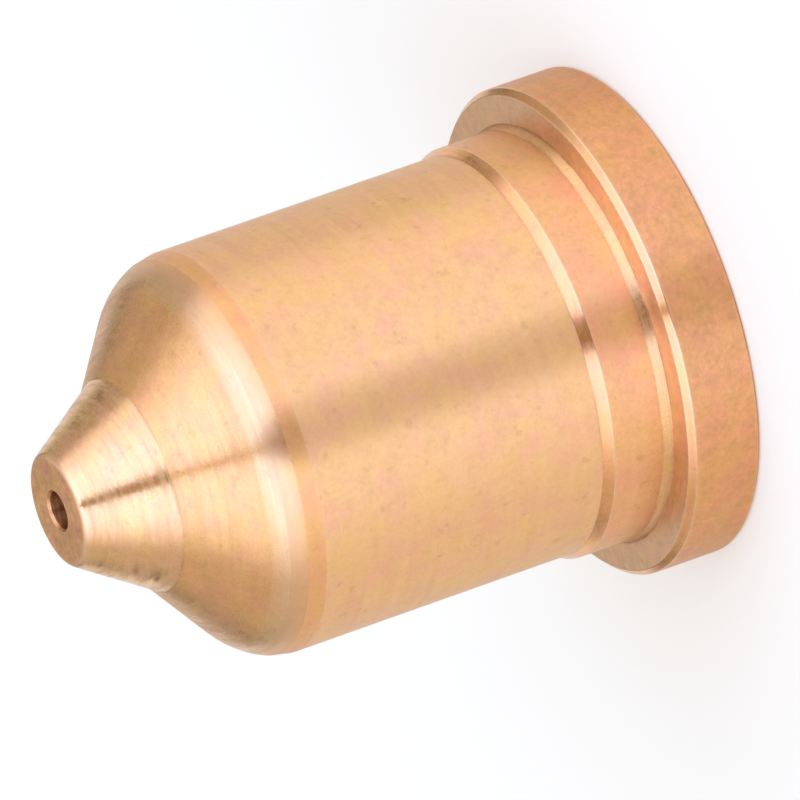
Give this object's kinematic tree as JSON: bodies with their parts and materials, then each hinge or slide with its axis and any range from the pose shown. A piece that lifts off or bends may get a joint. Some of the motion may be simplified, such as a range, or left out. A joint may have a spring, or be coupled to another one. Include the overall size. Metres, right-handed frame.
{
  "type": "plasma torch nozzle",
  "caption": "Turned copper plasma torch nozzle: flange at the back, straight body, rounded shoulder and a conical tip with a small central orifice; open stepped bore behind.",
  "frame": {"origin": "centre of the flange's flat back face, which the nozzle stands on", "axes": "+Z along the bore axis, from the flange towards the tip; X and Y are alike on this round part"},
  "size_m": [0.0175, 0.0174, 0.0224],
  "materials": {
    "copper": "satin turned copper"
  },
  "bodies": {
    "root": {"nozzle": "copper"}
  },
  "joints": []
}
